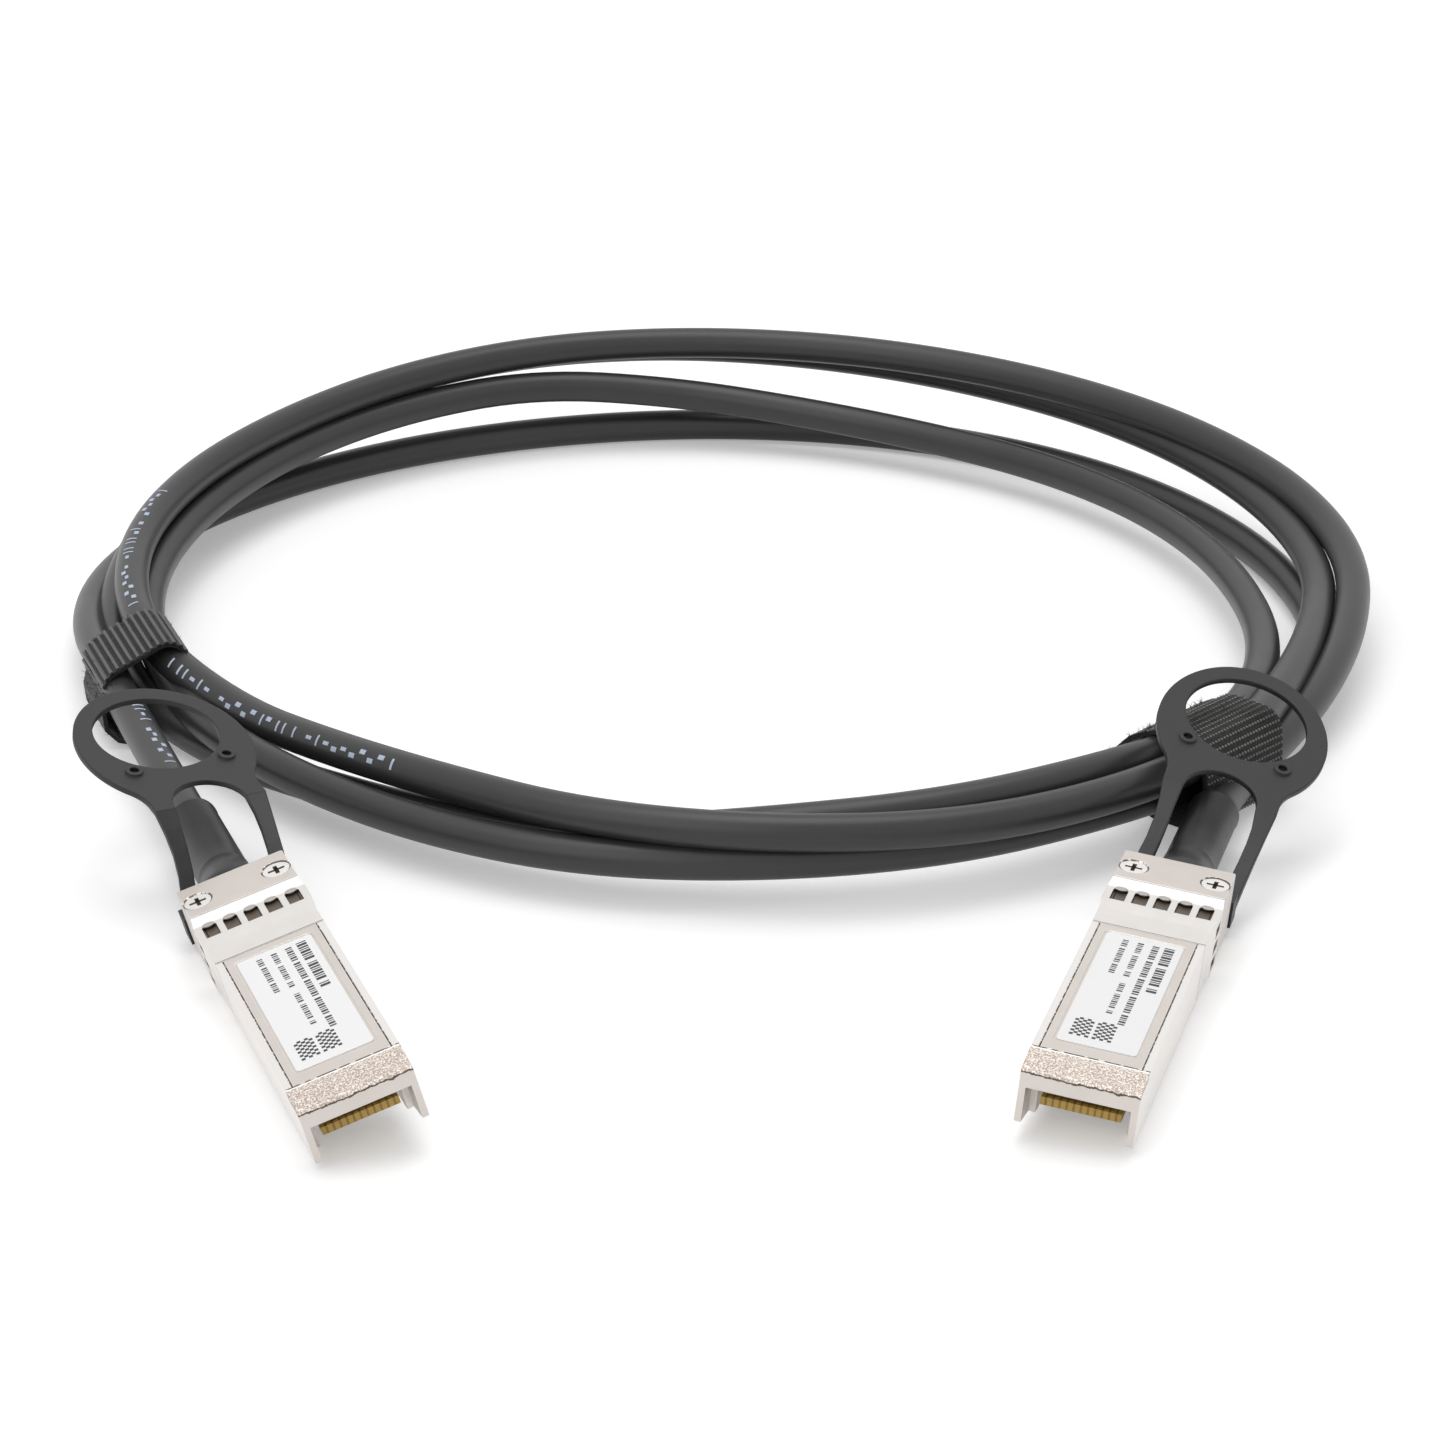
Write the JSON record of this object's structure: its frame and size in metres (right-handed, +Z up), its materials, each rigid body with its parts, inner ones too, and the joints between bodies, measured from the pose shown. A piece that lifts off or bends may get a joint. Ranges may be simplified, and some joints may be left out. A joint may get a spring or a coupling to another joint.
{
  "type": "direct attach copper cable",
  "caption": "Twinaxial copper cable coiled in a tied ring, with a metal pluggable module, boot and ringed pull tab at each end.",
  "frame": {"origin": "centre of the box round both modules and their pull tabs, on the standing surface", "axes": "+X to the right across both ends, +Y from the modules towards the coil, +Z up"},
  "size_m": [0.186, 0.2498, 0.0195],
  "materials": {
    "die_cast_shell": "nickel plated die casting, satin",
    "screw_plate": "plated steel",
    "spring_sheet": "bright nickel plated sheet",
    "label_film": "white satin film",
    "board_laminate": "solder mask",
    "contact_gold": "gold plated",
    "chip_plastic": "moulded",
    "foil_shield": "foil",
    "crimp_brass": "crimped",
    "boot_rubber": "satin moulded",
    "spring_wire": "drawn wire",
    "tab_plastic": "fine moulded texture",
    "cable_jacket": "satin extruded jacket",
    "tie_fabric": "hook and loop weave"
  },
  "bodies": {
    "cable_assembly": {"board_components_a": "chip_plastic", "board_components_b": "chip_plastic", "cable_boot_a": "boot_rubber", "cable_boot_b": "boot_rubber", "cable_coil": "cable_jacket", "cable_lead_a": "cable_jacket", "cable_lead_b": "cable_jacket", "circuit_board_a": "board_laminate", "circuit_board_b": "board_laminate", "cover_screw_left_a": "screw_plate", "cover_screw_left_b": "screw_plate", "cover_screw_right_a": "screw_plate", "cover_screw_right_b": "screw_plate", "crimp_ferrule_a": "crimp_brass", "crimp_ferrule_b": "crimp_brass", "edge_contacts_a": "contact_gold", "edge_contacts_b": "contact_gold", "emi_collar_a": "spring_sheet", "emi_collar_b": "spring_sheet", "housing_base_a": "die_cast_shell", "housing_base_b": "die_cast_shell", "housing_cover_a": "die_cast_shell", "housing_cover_b": "die_cast_shell", "product_label_a": "label_film", "product_label_b": "label_film", "return_springs_a": "spring_wire", "return_springs_b": "spring_wire", "tie_left": "tie_fabric", "tie_right": "tie_fabric", "twinax_pair_left_a": "foil_shield", "twinax_pair_left_b": "foil_shield", "twinax_pair_right_a": "foil_shield", "twinax_pair_right_b": "foil_shield"},
    "release_a": {"latch_slider_a": "spring_sheet", "pull_tab_a": "tab_plastic"},
    "release_b": {"latch_slider_b": "spring_sheet", "pull_tab_b": "tab_plastic"}
  },
  "joints": [
    {"name": "release_slide_a", "type": "slide", "parent": "cable_assembly", "child": "release_a", "axis": [-0.3338, 0.9426, 0], "range_m": [0, 0.0025], "stiffness_N_per_m": 400, "deforming": ["return_springs_a"]},
    {"name": "release_slide_b", "type": "slide", "parent": "cable_assembly", "child": "release_b", "axis": [0.284, 0.9588, 0], "range_m": [0, 0.0025], "stiffness_N_per_m": 400, "deforming": ["return_springs_b"]}
  ]
}
